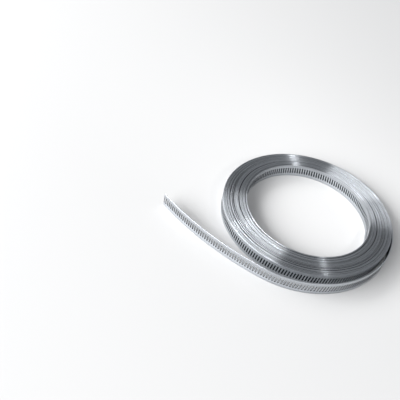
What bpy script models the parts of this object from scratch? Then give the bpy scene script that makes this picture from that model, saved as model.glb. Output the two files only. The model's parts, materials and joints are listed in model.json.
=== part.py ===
"""Hose clip banding: one slotted steel strip wound into a flat coil.

The strip stands on its edge. Its tight turns form a ring with a round bore, and its
last turn has sprung loose: it leaves the ring, passes round the front with a growing
gap and runs out as a gently curved tail, cut off square. A row of leaning slots, the
thread that a clip's screw bites into, is punched along the middle of the strip.

Metres, +Z up along the coil's axis. The origin is under the middle of the part's box.
"""
import math

import bmesh
import bpy
from mathutils import Matrix, Vector

PART_NAME = "banding_coil"

# Strip
STRIP_WIDTH = 0.012
STRIP_THICKNESS = 0.0006

# Tight turns: TURN_CLEARANCE is the mean air gap from each turn to the next
BORE_DIAMETER = 0.103
TURNS = 26
TURN_CLEARANCE = 0.00011
RING_FACETS = 50

# Edges of the turns on both ends: bands of turns, every other one set back a little
TURNS_PER_BAND = 3
BAND_SETBACK = 0.0004

# Loose turn and tail, as two arcs that start where the strip leaves the ring
LIFT_OFF_ANGLE = math.radians(27)
LIFT_OFF_SLOPE = math.radians(3.2)
LOOSE_TURN_SPREAD = 0.0048
LOOSE_TURN_SWEEP = math.radians(109.5)
TAIL_RADIUS = 0.251
TAIL_LENGTH = 0.0992
ROOT_LENGTH = 0.008

# Slots
SLOT_PITCH = 0.0022
SLOT_WIDTH = 0.0010
SLOT_LENGTH = 0.0058
SLOT_LEAN = math.radians(7)
SLOTS_PER_STRIP_FACET = 2
SLOTS_SKIPPED_AT_ROOT = 1
LOOSE_SLOT_SIDES = 6
TIGHT_SLOT_SIDES = 4
CUTTER_OVERRUN = 0.0005

BORE_RADIUS = BORE_DIAMETER / 2
COIL_RADIUS = BORE_RADIUS + TURNS * (STRIP_THICKNESS + TURN_CLEARANCE)
LOOSE_TURN_RADIUS = COIL_RADIUS + LOOSE_TURN_SPREAD
FACET_ANGLE = 2 * math.pi / RING_FACETS

STEEL_COLOUR = (0.62, 0.65, 0.68, 1.0)
STEEL_ROUGHNESS = 0.3
MERGE_DISTANCE = 0.00001


def clear_scene():
    for obj in list(bpy.data.objects):
        bpy.data.objects.remove(obj, do_unlink=True)


def make_collection(name):
    collection = bpy.data.collections.new(name)
    bpy.context.scene.collection.children.link(collection)
    return collection


def rolled_steel():
    material = bpy.data.materials.new("rolled_steel")
    material.use_nodes = True
    shader = material.node_tree.nodes["Principled BSDF"]
    shader.inputs["Base Color"].default_value = STEEL_COLOUR
    shader.inputs["Metallic"].default_value = 1.0
    shader.inputs["Roughness"].default_value = STEEL_ROUGHNESS
    return material


def add_object(name, mesh, collection):
    obj = bpy.data.objects.new(name, mesh)
    collection.objects.link(obj)
    return obj


def strip_length():
    """Length of the strip's free part, from where it leaves the ring to its cut end."""
    return LOOSE_TURN_RADIUS * LOOSE_TURN_SWEEP + TAIL_LENGTH


def strip_at(distance):
    """Middle of the strip and its heading, at a distance along it from the ring.

    The coil's axis is at (0, 0). Seen from above the strip runs clockwise, first on the
    loose turn's arc and then on the flatter arc of the tail. Distances below zero are
    inside the ring, on the loose turn's arc carried back.
    """
    start_radius = COIL_RADIUS - STRIP_THICKNESS / 2
    place = Vector((math.cos(LIFT_OFF_ANGLE), math.sin(LIFT_OFF_ANGLE))) * start_radius
    heading = LIFT_OFF_ANGLE - math.pi / 2 + LIFT_OFF_SLOPE
    loose_length = LOOSE_TURN_RADIUS * LOOSE_TURN_SWEEP
    for radius, length in ((LOOSE_TURN_RADIUS, min(distance, loose_length)),
                           (TAIL_RADIUS, max(distance - loose_length, 0))):
        turned = length / radius
        chord = 2 * radius * math.sin(turned / 2)
        along = heading - turned / 2
        place = place + Vector((math.cos(along), math.sin(along))) * chord
        heading -= turned
    return place, heading


def strip_stations():
    """Distances of the ribbon's bends: in the steel between slots, a few slots apart."""
    step = SLOT_PITCH * SLOTS_PER_STRIP_FACET
    count = int(strip_length() / step)
    return [-ROOT_LENGTH] + [index * step for index in range(count + 1)] + [strip_length()]


def box_middle():
    """Middle of the part's box in plan, measured from the coil's axis."""
    corners = []
    for side in range(RING_FACETS):
        angle = FACET_ANGLE * side
        corners.append(Vector((math.cos(angle), math.sin(angle))) * COIL_RADIUS)
    for distance in strip_stations():
        place, heading = strip_at(distance)
        across = Vector((-math.sin(heading), math.cos(heading))) * STRIP_THICKNESS / 2
        corners += [place - across, place + across]
    xs = [corner.x for corner in corners]
    ys = [corner.y for corner in corners]
    return Vector(((min(xs) + max(xs)) / 2, (min(ys) + max(ys)) / 2, 0))


def end_bands():
    """Radii between the bands of turns that show on the ends, from the outside in."""
    count = max(1, round(TURNS / TURNS_PER_BAND))
    step = (COIL_RADIUS - BORE_RADIUS) / count
    return [COIL_RADIUS - step * index for index in range(count + 1)]


def ring_outline():
    """Half section of the tight turns, down the outside and back up the bore."""
    radii = end_bands()
    bottom = []
    for index, (outer, inner) in enumerate(zip(radii, radii[1:])):
        setback = BAND_SETBACK * (index % 2)
        bottom += [(outer, setback), (inner, setback)]
    top = [(radius, STRIP_WIDTH - height) for radius, height in reversed(bottom)]
    return bottom + top


def make_ring(collection, material):
    """The tight turns as one turned solid, with its bore."""
    mesh = bpy.data.meshes.new("ring_outline")
    work = bmesh.new()
    corners = [work.verts.new((radius, 0, height)) for radius, height in ring_outline()]
    for first, second in zip(corners, corners[1:] + corners[:1]):
        work.edges.new((first, second))
    work.to_mesh(mesh)
    work.free()
    mesh.materials.append(material)
    ring = add_object(PART_NAME, mesh, collection)
    turn = ring.modifiers.new("turn", "SCREW")
    turn.steps = RING_FACETS
    turn.render_steps = RING_FACETS
    turn.use_merge_vertices = True
    turn.merge_threshold = MERGE_DISTANCE
    return ring


def make_strip(collection, material):
    """The loose turn and the tail, a ribbon with the strip's thickness."""
    mesh = bpy.data.meshes.new("loose_strip")
    work = bmesh.new()
    places = [strip_at(distance)[0] for distance in strip_stations()]
    lower = [work.verts.new((place.x, place.y, 0)) for place in places]
    upper = [work.verts.new((place.x, place.y, STRIP_WIDTH)) for place in places]
    for index in range(len(places) - 1):
        work.faces.new((lower[index], upper[index], upper[index + 1], lower[index + 1]))
    work.to_mesh(mesh)
    work.free()
    mesh.materials.append(material)
    strip = add_object("loose_strip", mesh, collection)
    wall = strip.modifiers.new("wall", "SOLIDIFY")
    wall.thickness = STRIP_THICKNESS
    wall.offset = 0
    wall.use_even_offset = True
    return strip


def add_slot(work, place, heading, depth, sides):
    """A slot's cutter: a bar that leans back from the strip's heading.

    place is the middle of the slot, and the bar runs across the strip for depth each way.
    Four sides give it square ends, and six give it pointed ones, near the punch's round.
    """
    radius = SLOT_WIDTH / 2 / math.cos(math.pi / sides)
    made = bmesh.ops.create_cone(work, cap_ends=True, segments=sides,
                                 radius1=radius, radius2=radius, depth=2 * depth)
    verts = made["verts"]
    if sides % 4 == 0:
        bmesh.ops.rotate(work, verts=verts, matrix=Matrix.Rotation(math.pi / sides, 3, "Z"))
    bmesh.ops.rotate(work, verts=verts, matrix=Matrix.Rotation(math.pi / 2, 3, "X"))
    stretch = SLOT_LENGTH / 2 - max(vert.co.z for vert in verts)
    for vert in verts:
        vert.co.z += math.copysign(stretch, vert.co.z)
        vert.co.x -= vert.co.z * math.tan(SLOT_LEAN)
    bmesh.ops.rotate(work, verts=verts, matrix=Matrix.Rotation(heading, 3, "Z"))
    bmesh.ops.translate(work, verts=verts, vec=(place.x, place.y, STRIP_WIDTH / 2))


def add_strip_slots(work):
    """Slots right through the loose turn and the tail, one pitch apart.

    Near the ring, where the strip has not yet parted from it, they end in the ring.
    """
    count = int(strip_length() / SLOT_PITCH)
    for index in range(SLOTS_SKIPPED_AT_ROOT, count):
        place, heading = strip_at((index + 0.5) * SLOT_PITCH)
        add_slot(work, place, heading, STRIP_THICKNESS / 2 + CUTTER_OVERRUN, LOOSE_SLOT_SIDES)


def add_ring_slots(work, radius, sides):
    """Slots in one wall of the ring, as deep as the strip is thick, a few on each facet."""
    face_width = 2 * radius * math.sin(FACET_ANGLE / 2)
    face_distance = radius * math.cos(FACET_ANGLE / 2)
    per_facet = max(1, round(face_width / SLOT_PITCH))
    for side in sides:
        middle = FACET_ANGLE * (side + 0.5)
        outward = Vector((math.cos(middle), math.sin(middle)))
        along = Vector((math.sin(middle), -math.cos(middle)))
        for number in range(per_facet):
            offset = face_width * ((number + 0.5) / per_facet - 0.5)
            place = outward * face_distance + along * offset
            add_slot(work, place, middle - math.pi / 2, STRIP_THICKNESS, TIGHT_SLOT_SIDES)


def showing_sides():
    """Facets of the ring's outer wall that the loose turn doesn't cover."""
    last_covered = LIFT_OFF_ANGLE + FACET_ANGLE
    covered = LOOSE_TURN_SWEEP + FACET_ANGLE
    return [side for side in range(RING_FACETS)
            if (last_covered - FACET_ANGLE * (side + 0.5)) % (2 * math.pi) > covered]


def make_slot_cutters(collection):
    mesh = bpy.data.meshes.new("slot_cutters")
    work = bmesh.new()
    add_strip_slots(work)
    add_ring_slots(work, COIL_RADIUS, showing_sides())
    add_ring_slots(work, BORE_RADIUS, range(RING_FACETS))
    work.to_mesh(mesh)
    work.free()
    return add_object("slot_cutters", mesh, collection)


def hide_cutter(obj):
    obj.hide_render = True
    obj.display_type = "WIRE"


def add_boolean(obj, name, operation, other):
    modifier = obj.modifiers.new(name, "BOOLEAN")
    modifier.operation = operation
    modifier.solver = "EXACT"
    modifier.object = other


clear_scene()
parts = make_collection("hose_clip_banding")
cutters = make_collection("cutters")
steel = rolled_steel()

coil = make_ring(parts, steel)
loose_strip = make_strip(cutters, steel)
slots = make_slot_cutters(cutters)
for tool in (loose_strip, slots):
    hide_cutter(tool)
add_boolean(coil, "join_loose_strip", "UNION", loose_strip)
add_boolean(coil, "punch_slots", "DIFFERENCE", slots)

middle_of_box = box_middle()
for obj in (coil, loose_strip, slots):
    obj.location = -middle_of_box
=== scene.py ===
import json
import math

import bmesh
import bpy
from mathutils import Matrix, Quaternion, Vector


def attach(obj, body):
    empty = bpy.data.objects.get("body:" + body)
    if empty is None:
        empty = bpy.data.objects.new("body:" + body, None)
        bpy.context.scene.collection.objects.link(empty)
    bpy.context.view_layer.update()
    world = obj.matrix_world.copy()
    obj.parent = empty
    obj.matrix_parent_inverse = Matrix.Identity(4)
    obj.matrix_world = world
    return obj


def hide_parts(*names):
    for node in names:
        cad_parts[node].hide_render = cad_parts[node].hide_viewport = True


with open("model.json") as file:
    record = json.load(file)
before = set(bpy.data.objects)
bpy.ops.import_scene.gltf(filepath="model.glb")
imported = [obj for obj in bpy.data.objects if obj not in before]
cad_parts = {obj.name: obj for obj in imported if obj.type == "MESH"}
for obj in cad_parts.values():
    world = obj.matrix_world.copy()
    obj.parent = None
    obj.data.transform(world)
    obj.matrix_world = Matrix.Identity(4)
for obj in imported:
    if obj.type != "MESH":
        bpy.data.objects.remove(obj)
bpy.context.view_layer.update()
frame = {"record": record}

# The coil's place. The strip is wound on a former that leaves a round bore, so everything is
# set out from the coil's axis. The mount under the coil lies on a ring about that axis,
# straight behind it.
mount_ring_radius = 0.0688
base_mount = next(mount for mount in frame["record"]["mounts"]
                  if mount["name"] == "base_face")
coil_axis = Vector(base_mount["pos_m"])
coil_axis.y -= mount_ring_radius

# The route of the strip. About 10 m of stainless strip is wound on edge, 26 turns from the
# bore outwards, pulled tight at the back right and slacker at the front left, where thin
# gaps open between turns. The last turn has sprung off the coil and runs out as a tail.
strip_thickness = 0.0006
turns = 26
turn_step = math.radians(1)

# Inside and outside of the tight turns: mean radius, how far each lies off centre and towards
# which azimuth, and how much the bore is out of round
bore_radius = 0.05165
bore_shift = 0.0006
bore_shift_azimuth = math.radians(91)
bore_oval = 0.0009
bore_oval_azimuth = math.radians(-38)
rim_radius = 0.06991
rim_shift = 0.00056
rim_shift_azimuth = math.radians(-108)

# Turn numbers where the strip steps outwards and leaves a gap behind it for one turn, each
# with its share of the slack
slack_steps = ((1.68, 0.10), (4.68, 0.05), (8.68, 0.18), (14.68, 0.11), (15.68, 0.11),
               (17.68, 0.12), (20.68, 0.08))
slack_step_span = 0.3

# Lift-off, where the last tight turn leaves the coil: it is eased out to the lift-off radius,
# and the kink is rounded over a short reach, within a few points of the route on each side
lift_off_radius = 0.06996
lift_off_azimuth = math.radians(27)
lift_off_slope = math.radians(3.2)
lift_off_easing = math.radians(50)
lift_off_reach = 0.008
lift_off_neighbours = 8

# Loose turn and tail, as two arcs
loose_turn_radius = 0.07474
loose_turn_sweep = math.radians(109.5)
tail_radius = 0.251
tail_length = 0.0992
loose_step = 0.0015


def smooth_step(value):
    """From 0 to 1 with a level start and end."""
    value = min(max(value, 0.0), 1.0)
    return value * value * (3 - 2 * value)


def bore_edge(azimuth):
    """Radius of the inside of the turns."""
    return (bore_radius + bore_shift * math.cos(azimuth - bore_shift_azimuth)
            + bore_oval * math.cos(2 * (azimuth - bore_oval_azimuth)))


def rim_edge(azimuth):
    """Radius of the outside of the tight turns."""
    return rim_radius + rim_shift * math.cos(azimuth - rim_shift_azimuth)


def slack_share(turn):
    """Share of the slack that lies inside the strip at this turn number."""
    stepped = sum(share for _, share in slack_steps)
    even = (1 - stepped) * turn / turns
    return even + sum(share * smooth_step((turn - start) / slack_step_span)
                      for start, share in slack_steps)


def wound_radius(turn, azimuth):
    """Radius of the strip's middle, at a turn number that grows from the bore outwards."""
    slack = rim_edge(azimuth) - bore_edge(azimuth) - turns * strip_thickness
    wound = bore_edge(azimuth) + turn * strip_thickness + slack * slack_share(turn)
    left = (turns - turn) * 2 * math.pi
    easing = smooth_step(1 - left / lift_off_easing)
    return wound + (lift_off_radius - strip_thickness / 2 - wound) * easing


def tight_points():
    """Points of the strip's middle along the tight turns, from the bore outwards."""
    points = []
    steps = round(turns * 2 * math.pi / turn_step)
    for step in range(steps + 1):
        turn = turns * step / steps
        azimuth = lift_off_azimuth + (turns - turn) * 2 * math.pi
        outwards = Vector((math.cos(azimuth), math.sin(azimuth), 0))
        points.append(coil_axis + outwards * wound_radius(turn, azimuth))
    return points


def add_loose_points(points):
    """Carry the route on along the loose turn and the tail, which bend the same way."""
    heading = lift_off_azimuth - math.pi / 2 + lift_off_slope
    for radius, length in ((loose_turn_radius, loose_turn_radius * loose_turn_sweep),
                           (tail_radius, tail_length)):
        count = round(length / loose_step)
        for _ in range(count):
            turned = length / count / radius
            heading -= turned / 2
            points.append(points[-1] + Vector((math.cos(heading), math.sin(heading), 0))
                          * length / count)
            heading -= turned / 2


def round_lift_off(points, index):
    """Round the kink at the lift-off with a parabola that touches the route on both sides."""
    kink = points[index].copy()
    for point in points[index - lift_off_neighbours:index + lift_off_neighbours]:
        reach = max(lift_off_reach - (point - kink).length, 0)
        outwards = (point - coil_axis).normalized()
        point += outwards * lift_off_slope * reach ** 2 / (4 * lift_off_reach)


def distances_along(points):
    """Distance of each point from the strip's inner end."""
    distances = [0.0]
    for first, second in zip(points, points[1:]):
        distances.append(distances[-1] + (second - first).length)
    return distances


route_points = tight_points()
lift_off_index = len(route_points) - 1
add_loose_points(route_points)
round_lift_off(route_points, lift_off_index)
route_distances = distances_along(route_points)

route_curve = bpy.data.curves.new("strip_route", "CURVE")
route_curve.dimensions = "3D"
route_line = route_curve.splines.new("POLY")
route_line.points.add(len(route_points) - 1)
for point, place in zip(route_line.points, route_points):
    point.co = (*place, 1)
route = bpy.data.objects.new("strip_route", route_curve)
bpy.context.scene.collection.objects.link(route)

# The strip itself. It is cold-rolled stainless steel, slit to width with rolled round edges,
# and a press punches one leaning slot after another along its middle, which the screw of a
# clip bites into. One pitch of it is modelled flat, with a slot and without.
strip_width = 0.0117
slot_pitch = 0.0022
slot_width = 0.0010
slot_length = 0.0058
slot_lean = math.radians(7)
slot_end_sides = 6
slot_chamfer = 0.00008
edge_height = 0.00026
edge_sides = 8
edge_land = 0.00015
flat_tolerance = 0.000006


def edge_profile():
    """Section of the strip as (across, height) points: two flat faces and two round edges."""
    half = strip_thickness / 2
    crown = strip_width - edge_height
    upper = [(-half, crown - edge_land)]
    for step in range(edge_sides + 1):
        angle = math.pi * step / edge_sides
        upper.append((-half * math.cos(angle), crown + edge_height * math.sin(angle)))
    upper.append((half, crown - edge_land))
    lower = [(-across, strip_width - height) for across, height in upper]
    return upper + lower


def slot_outline(across, growth):
    """Corners of a slot with round ends that leans back from the strip's heading."""
    radius = slot_width / 2 + growth
    straight = slot_length / 2 - slot_width / 2
    corners = []
    for end in (1, -1):
        for step in range(slot_end_sides + 1):
            angle = math.pi * step / slot_end_sides
            along = end * radius * math.cos(angle)
            height = end * (straight + radius * math.sin(angle))
            corners.append(Vector((along - height * math.tan(slot_lean), across,
                                   strip_width / 2 + height)))
    return corners


def close_loop(work, corners):
    """Edges that join the corners into one loop."""
    return [work.edges.new((first, second))
            for first, second in zip(corners, corners[1:] + corners[:1])]


def punch_slot(work, painted_shade):
    """Cut a slot with a chamfered rim through both flat faces, and mark its walls for painted
    shade.
    """
    half = strip_thickness / 2
    flats = sorted(work.faces, key=lambda face: face.calc_area())[-2:]
    flats.sort(key=lambda face: face.calc_center_median().y)
    inner_border, outer_border = [list(face.edges) for face in flats]
    bmesh.ops.delete(work, geom=flats, context="FACES_ONLY")
    loops = []
    for across, growth in ((-half, slot_chamfer), (slot_chamfer - half, 0),
                           (half - slot_chamfer, 0), (half, slot_chamfer)):
        corners = [work.verts.new(corner) for corner in slot_outline(across, growth)]
        loops.append(close_loop(work, corners))
    for first, second in zip(loops, loops[1:]):
        walls = bmesh.ops.bridge_loops(work, edges=first + second)
        # Painted shade: the slot walls are marked to take a near-black colour
        for face in walls["faces"]:
            face[painted_shade] = 1.0
    for border, loop in ((inner_border, loops[0]), (outer_border, loops[-1])):
        bmesh.ops.triangle_fill(work, edges=border + loop, use_beauty=True)


def strip_pitch(name, punched, covered):
    """One pitch of flat strip, open at both ends where the next pitch joins it.

    A covered pitch lies under another turn, so its flat faces get painted shade, a near-black
    colour.
    """
    work = bmesh.new()
    section = [work.verts.new((-slot_pitch / 2, across, height))
               for across, height in edge_profile()]
    made = bmesh.ops.extrude_edge_only(work, edges=close_loop(work, section))
    far_end = [item for item in made["geom"] if isinstance(item, bmesh.types.BMVert)]
    bmesh.ops.translate(work, verts=far_end, vec=(slot_pitch, 0, 0))
    painted_shade = work.faces.layers.float.new("painted_shade")
    if punched:
        punch_slot(work, painted_shade)
    # Painted shade: the flat faces of a covered pitch are marked to take a near-black colour
    if covered:
        for face in work.faces:
            across = abs(face.calc_center_median().y)
            if across > strip_thickness / 2 - flat_tolerance:
                face[painted_shade] = 1.0
    bmesh.ops.recalc_face_normals(work, faces=work.faces)
    mesh = bpy.data.meshes.new(name)
    work.to_mesh(mesh)
    work.free()
    pitch = bpy.data.objects.new(name, mesh)
    bpy.context.scene.collection.objects.link(pitch)
    return pitch


punched_pitch = strip_pitch("punched_pitch", punched=True, covered=False)
covered_pitch = strip_pitch("covered_pitch", punched=True, covered=True)
plain_pitch = strip_pitch("plain_pitch", punched=False, covered=True)

# Finish of the strip. Cold rolling leaves a satin skin with fine lines along the strip, which
# spread each highlight across it. Handling leaves broad faint marks, and punched walls are
# rougher. Painted shade: the slot walls and the flat faces of covered turns are coloured
# near-black, as shade in the slots and between the turns. The pattern reads the flat strip's
# own coordinates, so it follows the turns.
bright_steel = (0.67, 0.70, 0.74, 1.0)
dull_steel = (0.30, 0.315, 0.335, 1.0)
# Painted shade: the near-black colour of slot walls and of covered turns' flat faces
painted_shade_steel = (0.035, 0.040, 0.048, 1.0)
satin_strength = 0.85
satin_quarter_turn = 0.25
line_detail = 3.0
fine_spacing = 0.00012
fine_length = 0.02
fine_range = (0.3, 0.7)
fine_shade = 0.4
mark_height = 0.004
mark_length = 0.25
mark_range = (0.35, 0.65)
mark_shade = 1.0
dull_share = 0.6
smooth_roughness = 0.25
lined_roughness = 0.33
painted_shade_extra_roughness = 0.2


def feed(tree, socket, value):
    """Link a socket to another one, or set it to a plain value."""
    if isinstance(value, bpy.types.NodeSocket):
        tree.links.new(value, socket)
    else:
        socket.default_value = value


def add_socket(group, name, direction, kind):
    """A named input or output of a shader or geometry node group."""
    group.interface.new_socket(name=name, in_out=direction, socket_type=kind)


def add_node(tree, kind, feeds=None, **settings):
    """A node with its settings and with what feeds its inputs."""
    node = tree.nodes.new(kind)
    for name, value in settings.items():
        setattr(node, name, value)
    for name, value in (feeds or {}).items():
        feed(tree, node.inputs[name], value)
    return node


def work_out(tree, operation, *values):
    """The result of a math operation on values or sockets."""
    return add_node(tree, "ShaderNodeMath", dict(enumerate(values)),
                    operation=operation).outputs[0]


def spread_lines(tree, lines, lines_range, start, end):
    """A value that goes from start to end as the lines go through their range."""
    low, high = lines_range
    spread = add_node(tree, "ShaderNodeMapRange", {
        "Value": lines, "From Min": low, "From Max": high, "To Min": start, "To Max": end})
    return spread.outputs["Result"]


def blend_colours(tree, share, first, second):
    """A colour between two others."""
    node = add_node(tree, "ShaderNodeMix", data_type="RGBA")
    sockets = {socket.identifier: socket for socket in node.inputs}
    feed(tree, sockets["Factor_Float"], share)
    feed(tree, sockets["A_Color"], first)
    feed(tree, sockets["B_Color"], second)
    return next(socket for socket in node.outputs if socket.identifier == "Result_Color")


def mill_lines_group():
    """Lines along the strip: a mask from 0 to 1 from the flat strip's coordinates."""
    group = bpy.data.node_groups.new("mill_lines", "ShaderNodeTree")
    add_socket(group, "Place", "INPUT", "NodeSocketVector")
    add_socket(group, "Line Spacing", "INPUT", "NodeSocketFloat")
    add_socket(group, "Line Length", "INPUT", "NodeSocketFloat")
    add_socket(group, "Lines", "OUTPUT", "NodeSocketFloat")
    given = add_node(group, "NodeGroupInput").outputs
    flat = add_node(group, "ShaderNodeSeparateXYZ", {"Vector": given["Place"]}).outputs
    joined = add_node(group, "ShaderNodeCombineXYZ", {
        "X": work_out(group, "DIVIDE", flat["X"], given["Line Length"]),
        "Y": work_out(group, "DIVIDE", flat["Y"], given["Line Spacing"]),
        "Z": work_out(group, "DIVIDE", flat["Z"], given["Line Spacing"])})
    noise = add_node(group, "ShaderNodeTexNoise", {
        "Vector": joined.outputs["Vector"], "Scale": 1.0, "Detail": line_detail})
    add_node(group, "NodeGroupOutput", {"Lines": noise.outputs["Fac"]})
    return group


def rolled_steel():
    """Satin stainless steel."""
    material = bpy.data.materials.new("rolled_steel")
    material.use_nodes = True
    tree = material.node_tree
    grain = add_node(tree, "ShaderNodeAttribute", attribute_name="grain")
    place = add_node(tree, "ShaderNodeAttribute", attribute_name="flat_place")
    painted_shade = add_node(tree, "ShaderNodeAttribute", attribute_name="painted_shade")
    fine = add_node(tree, "ShaderNodeGroup", {
        "Place": place.outputs["Vector"], "Line Spacing": fine_spacing,
        "Line Length": fine_length}, node_tree=mill_lines)
    marks = add_node(tree, "ShaderNodeGroup", {
        "Place": place.outputs["Vector"], "Line Spacing": mark_height,
        "Line Length": mark_length}, node_tree=mill_lines)
    worn = spread_lines(tree, marks.outputs["Lines"], mark_range, 0.0, mark_shade)
    lined = spread_lines(tree, fine.outputs["Lines"], fine_range, 0.0, fine_shade)
    shade = work_out(tree, "MULTIPLY", work_out(tree, "ADD", worn, lined), dull_share)
    skin = blend_colours(tree, shade, bright_steel, dull_steel)
    # Painted shade: slot walls and covered flat faces take the near-black colour
    colour = blend_colours(tree, painted_shade.outputs["Fac"], skin, painted_shade_steel)
    satin = spread_lines(tree, fine.outputs["Lines"], fine_range,
                         smooth_roughness, lined_roughness)
    rough = work_out(tree, "ADD", satin,
                     work_out(tree, "MULTIPLY", painted_shade.outputs["Fac"], painted_shade_extra_roughness))
    shader = tree.nodes["Principled BSDF"]
    for name, value in (("Base Color", colour), ("Metallic", 1.0), ("Roughness", rough),
                        ("Anisotropic", satin_strength),
                        ("Anisotropic Rotation", satin_quarter_turn),
                        ("Tangent", grain.outputs["Vector"])):
        feed(tree, shader.inputs[name], value)
    return material


mill_lines = mill_lines_group()
steel = rolled_steel()

# Winding. The punched strip is fed along the route one pitch after another and bent round
# it, so it holds together by its own spring. Turns are not pressed quite level, so each one
# stands a hair higher or lower than the last.
height_play = 0.0003
height_waves = 2.4
weld_distance = 0.000004
crisp_angle = math.radians(40)
pitch_count = int(route_distances[-1] / slot_pitch)
trimmed_start = route_distances[-1] - pitch_count * slot_pitch


def winding_tree():
    """Geometry nodes that repeat one pitch of strip in line and bend it along the route."""
    tree = bpy.data.node_groups.new("wind_strip", "GeometryNodeTree")
    add_socket(tree, "Pitch Piece", "INPUT", "NodeSocketObject")
    add_socket(tree, "Route", "INPUT", "NodeSocketObject")
    add_socket(tree, "Pitches", "INPUT", "NodeSocketInt")
    add_socket(tree, "Pitch", "INPUT", "NodeSocketFloat")
    add_socket(tree, "Start", "INPUT", "NodeSocketFloat")
    add_socket(tree, "Steel", "INPUT", "NodeSocketMaterial")
    add_socket(tree, "Strip", "OUTPUT", "NodeSocketGeometry")
    given = add_node(tree, "NodeGroupInput").outputs

    # A straight length of strip, one pitch joined to the next
    piece = add_node(tree, "GeometryNodeObjectInfo", {"Object": given["Pitch Piece"]})
    first_middle = add_node(tree, "ShaderNodeCombineXYZ", {
        "X": work_out(tree, "MULTIPLY_ADD", given["Pitch"], 0.5, given["Start"])})
    step = add_node(tree, "ShaderNodeCombineXYZ", {"X": given["Pitch"]})
    line = add_node(tree, "GeometryNodeMeshLine", {
        "Count": given["Pitches"], "Start Location": first_middle.outputs["Vector"],
        "Offset": step.outputs["Vector"]})
    row = add_node(tree, "GeometryNodeInstanceOnPoints", {
        "Points": line.outputs["Mesh"], "Instance": piece.outputs["Geometry"]})
    real = add_node(tree, "GeometryNodeRealizeInstances", {
        "Geometry": row.outputs["Instances"]})
    straight = add_node(tree, "GeometryNodeMergeByDistance", {
        "Geometry": real.outputs["Geometry"], "Distance": weld_distance})

    # Each point remembers its flat place for the finish, and moves to the route's curve
    place = add_node(tree, "GeometryNodeInputPosition").outputs["Position"]
    flat = add_node(tree, "ShaderNodeSeparateXYZ", {"Vector": place}).outputs
    path = add_node(tree, "GeometryNodeObjectInfo", {"Object": given["Route"]})
    sample = add_node(tree, "GeometryNodeSampleCurve", {
        "Curves": path.outputs["Geometry"], "Length": flat["X"]},
        mode="LENGTH", use_all_curves=True)
    outwards = add_node(tree, "ShaderNodeVectorMath", {
        0: (0, 0, 1), 1: sample.outputs["Tangent"]}, operation="CROSS_PRODUCT")
    across = add_node(tree, "ShaderNodeVectorMath", {
        "Vector": outwards.outputs["Vector"], "Scale": flat["Y"]}, operation="SCALE")
    upright = add_node(tree, "ShaderNodeCombineXYZ", {"Z": flat["Z"]})
    side = add_node(tree, "ShaderNodeVectorMath", {
        0: sample.outputs["Position"], 1: across.outputs["Vector"]}, operation="ADD")
    bent = add_node(tree, "ShaderNodeVectorMath", {
        0: side.outputs["Vector"], 1: upright.outputs["Vector"]}, operation="ADD")
    keep = add_node(tree, "GeometryNodeStoreNamedAttribute", data_type="FLOAT_VECTOR",
                    domain="POINT", feeds={
                        "Geometry": straight.outputs["Geometry"], "Name": "flat_place",
                        "Value": place})
    grain = add_node(tree, "GeometryNodeStoreNamedAttribute", data_type="FLOAT_VECTOR",
                     domain="POINT", feeds={
                         "Geometry": keep.outputs["Geometry"], "Name": "grain",
                         "Value": sample.outputs["Tangent"]})
    move = add_node(tree, "GeometryNodeSetPosition", {
        "Geometry": grain.outputs["Geometry"], "Position": bent.outputs["Vector"]})

    whole = add_node(tree, "GeometryNodeRealizeInstances", {
        "Geometry": move.outputs["Geometry"]})
    finish = add_node(tree, "GeometryNodeSetMaterial", {
        "Geometry": whole.outputs["Geometry"], "Material": given["Steel"]})
    add_node(tree, "NodeGroupOutput", {"Strip": finish.outputs["Geometry"]})
    return tree


def turn_at(distance):
    """Turn number at a distance from the strip's inner end."""
    return turns * distance / route_distances[lift_off_index]


def pitch_at_turn(turn):
    """Number of the pitch that begins nearest to this turn number."""
    steps = round(turn * 2 * math.pi / turn_step)
    return round((route_distances[steps] - trimmed_start) / slot_pitch)


def stand_on_edge(mesh):
    """Close the cut ends, and lift each turn by its own share of the height play."""
    work = bmesh.new()
    work.from_mesh(mesh)
    open_edges = [edge for edge in work.edges if edge.is_boundary]
    bmesh.ops.holes_fill(work, edges=open_edges, sides=0)
    flat = work.verts.layers.float_vector["flat_place"]
    for vert in work.verts:
        wave = math.sin(height_waves * turn_at(vert[flat].x))
        vert.co.z += height_play * (1 + wave) / 2
    work.to_mesh(mesh)
    work.free()


def wind(name, pitch_piece, first_pitch, last_pitch):
    """A stretch of the strip from one pitch number to another, as a closed mesh."""
    piece = bpy.data.objects.new(name, bpy.data.meshes.new(name))
    bpy.context.scene.collection.objects.link(piece)
    winding = piece.modifiers.new("winding", "NODES")
    winding.node_group = wind_strip
    sockets = {item.name: item.identifier for item in wind_strip.interface.items_tree}
    winding[sockets["Pitch Piece"]] = pitch_piece
    winding[sockets["Route"]] = route
    winding[sockets["Pitches"]] = last_pitch - first_pitch
    winding[sockets["Pitch"]] = slot_pitch
    winding[sockets["Start"]] = trimmed_start + first_pitch * slot_pitch
    winding[sockets["Steel"]] = steel
    bpy.context.view_layer.update()
    depsgraph = bpy.context.evaluated_depsgraph_get()
    piece_mesh = bpy.data.meshes.new_from_object(
        piece.evaluated_get(depsgraph), preserve_all_data_layers=True, depsgraph=depsgraph)
    piece.modifiers.remove(winding)
    piece.data = piece_mesh
    stand_on_edge(piece_mesh)
    piece_mesh.shade_smooth()
    piece_mesh.set_sharp_from_angle(angle=crisp_angle)
    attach(piece, "root")
    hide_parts("banding_coil")


wind_strip = winding_tree()

# Inner turns. The coil starts with the strip's square-cut inner end, and the first turn shows
# its slots on the wall of the bore. The second turn lies behind them, with its flat faces
# painted near-black as shade.
slotted_turns = 2
wind("inner_turn", punched_pitch, 0, pitch_at_turn(1))
wind("inner_backing", covered_pitch, pitch_at_turn(1), pitch_at_turn(slotted_turns))

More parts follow.
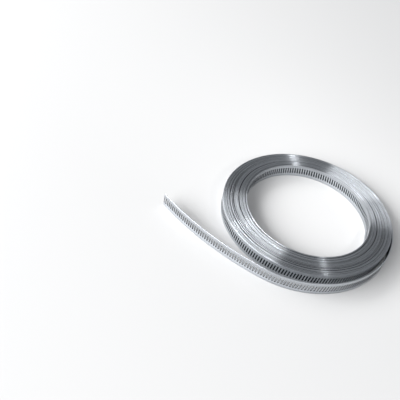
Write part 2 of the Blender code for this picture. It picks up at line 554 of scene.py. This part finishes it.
# Packed turns. Most of the coil is one turn pressed on the next, held by the spring of the
# steel, so only the rolled upper and lower edges show. Their slots are left out, and their
# flat faces are painted near-black as shade between the turns.
wind("packed_turns", plain_pitch, pitch_at_turn(slotted_turns),
     pitch_at_turn(turns - slotted_turns))

# Outer turns. The last tight turn shows its slots on the outside of the coil, wherever the
# loose turn doesn't pass in front of it. The turn behind them has its flat faces painted
# near-black as shade.
wind("outer_backing", covered_pitch, pitch_at_turn(turns - slotted_turns),
     pitch_at_turn(turns - 1))
wind("outer_turn", punched_pitch, pitch_at_turn(turns - 1), pitch_at_turn(turns))

# Loose turn and tail. The end of the strip has sprung off the coil, stands free on its lower
# edge and is cut off square. Its slots go right through, so the floor shows behind them.
wind("loose_turn_and_tail", punched_pitch, pitch_at_turn(turns), pitch_count)

for helper in (route, punched_pitch, covered_pitch, plain_pitch):
    bpy.data.objects.remove(helper)

# The floor. It is a plain pale board with a matt paint, on which the coil lies flat. It is
# big enough to fill the view from every side.
floor_half = 3.0
floor_colour = (0.66, 0.66, 0.66, 1)
floor_roughness = 0.9
floor_mesh = bpy.data.meshes.new("floor")
floor_mesh.from_pydata([(-floor_half, -floor_half, 0), (floor_half, -floor_half, 0),
                        (floor_half, floor_half, 0), (-floor_half, floor_half, 0)],
                       [], [(0, 1, 2, 3)])
floor = bpy.data.objects.new("floor", floor_mesh)
bpy.context.scene.collection.objects.link(floor)
floor_paint = bpy.data.materials.new("floor_paint")
floor_paint.use_nodes = True
paint = floor_paint.node_tree.nodes["Principled BSDF"].inputs
paint["Base Color"].default_value = floor_colour
paint["Roughness"].default_value = floor_roughness
floor_mesh.materials.append(floor_paint)

# The light. Two wide soft boxes stand low at the front left and at the left, a small narrow
# lamp stands close by at the right, and the room is evenly lit. The rounded edges of the
# turns spread each lamp into a bright fan.
room_colour = (0.95, 0.97, 1.0, 1)
room_strength = 0.32


def soft_box(name, place, size, watts, long_way, aim=(0, 0, 0), spread=math.pi):
    """A rectangular lamp facing its aim, both places measured from the coil's axis."""
    lamp = bpy.data.lights.new(name, "AREA")
    lamp.shape = "RECTANGLE"
    lamp.size, lamp.size_y = size
    lamp.energy = watts
    lamp.spread = spread
    holder = bpy.data.objects.new(name, lamp)
    bpy.context.scene.collection.objects.link(holder)
    away = (Vector(place) - Vector(aim)).normalized()
    along = Vector(long_way) - away * Vector(long_way).dot(away)
    along.normalize()
    holder.matrix_world = Matrix.Translation(coil_axis + Vector(place)) @ Matrix(
        (along, away.cross(along), away)).transposed().to_4x4()


soft_box("front_box", place=(-1.45, -2.55, 1.45), size=(4.375, 1.75), watts=250,
         long_way=(0.90, -0.43, 0))
soft_box("left_box", place=(-2.425, -0.15, 1.55), size=(2.75, 1.25), watts=40.6,
         long_way=(0.12, 0.99, 0))
soft_box("side_lamp", place=(0.237, -0.076, 0.270), size=(0.06, 0.010), watts=0.032,
         long_way=(0.686, -0.728, 0), aim=(-0.09, 0.10, 0), spread=math.radians(50))
room = bpy.data.worlds.new("room")
room.use_nodes = True
room_light = room.node_tree.nodes["Background"].inputs
room_light["Color"].default_value = room_colour
room_light["Strength"].default_value = room_strength
bpy.context.scene.world = room
bpy.context.scene.view_settings.view_transform = "Standard"

# The camera. It looks down on the coil from the front right, a little rolled, as the
# photograph does. Its aim is left of the coil, because the coil fills the right of the frame.
camera_lens = 45.33
camera_sensor = 36
camera_aim = Vector((-0.0638, -0.0444, 0))
camera_distance = 0.4179
camera_azimuth = math.radians(33.94)
camera_elevation = math.radians(43.02)
camera_roll = math.radians(10.95)
camera_data = bpy.data.cameras.new("camera")
camera_data.lens = camera_lens
camera_data.sensor_width = camera_sensor
camera = bpy.data.objects.new("camera", camera_data)
bpy.context.scene.collection.objects.link(camera)
back = Vector((math.sin(camera_azimuth) * math.cos(camera_elevation),
               -math.cos(camera_azimuth) * math.cos(camera_elevation),
               math.sin(camera_elevation)))
camera.location = camera_aim + back * camera_distance
camera.rotation_mode = "QUATERNION"
camera.rotation_quaternion = ((-back).to_track_quat("-Z", "Y")
                              @ Quaternion((0, 0, 1), camera_roll))
bpy.context.scene.camera = camera

bpy.context.view_layer.update()
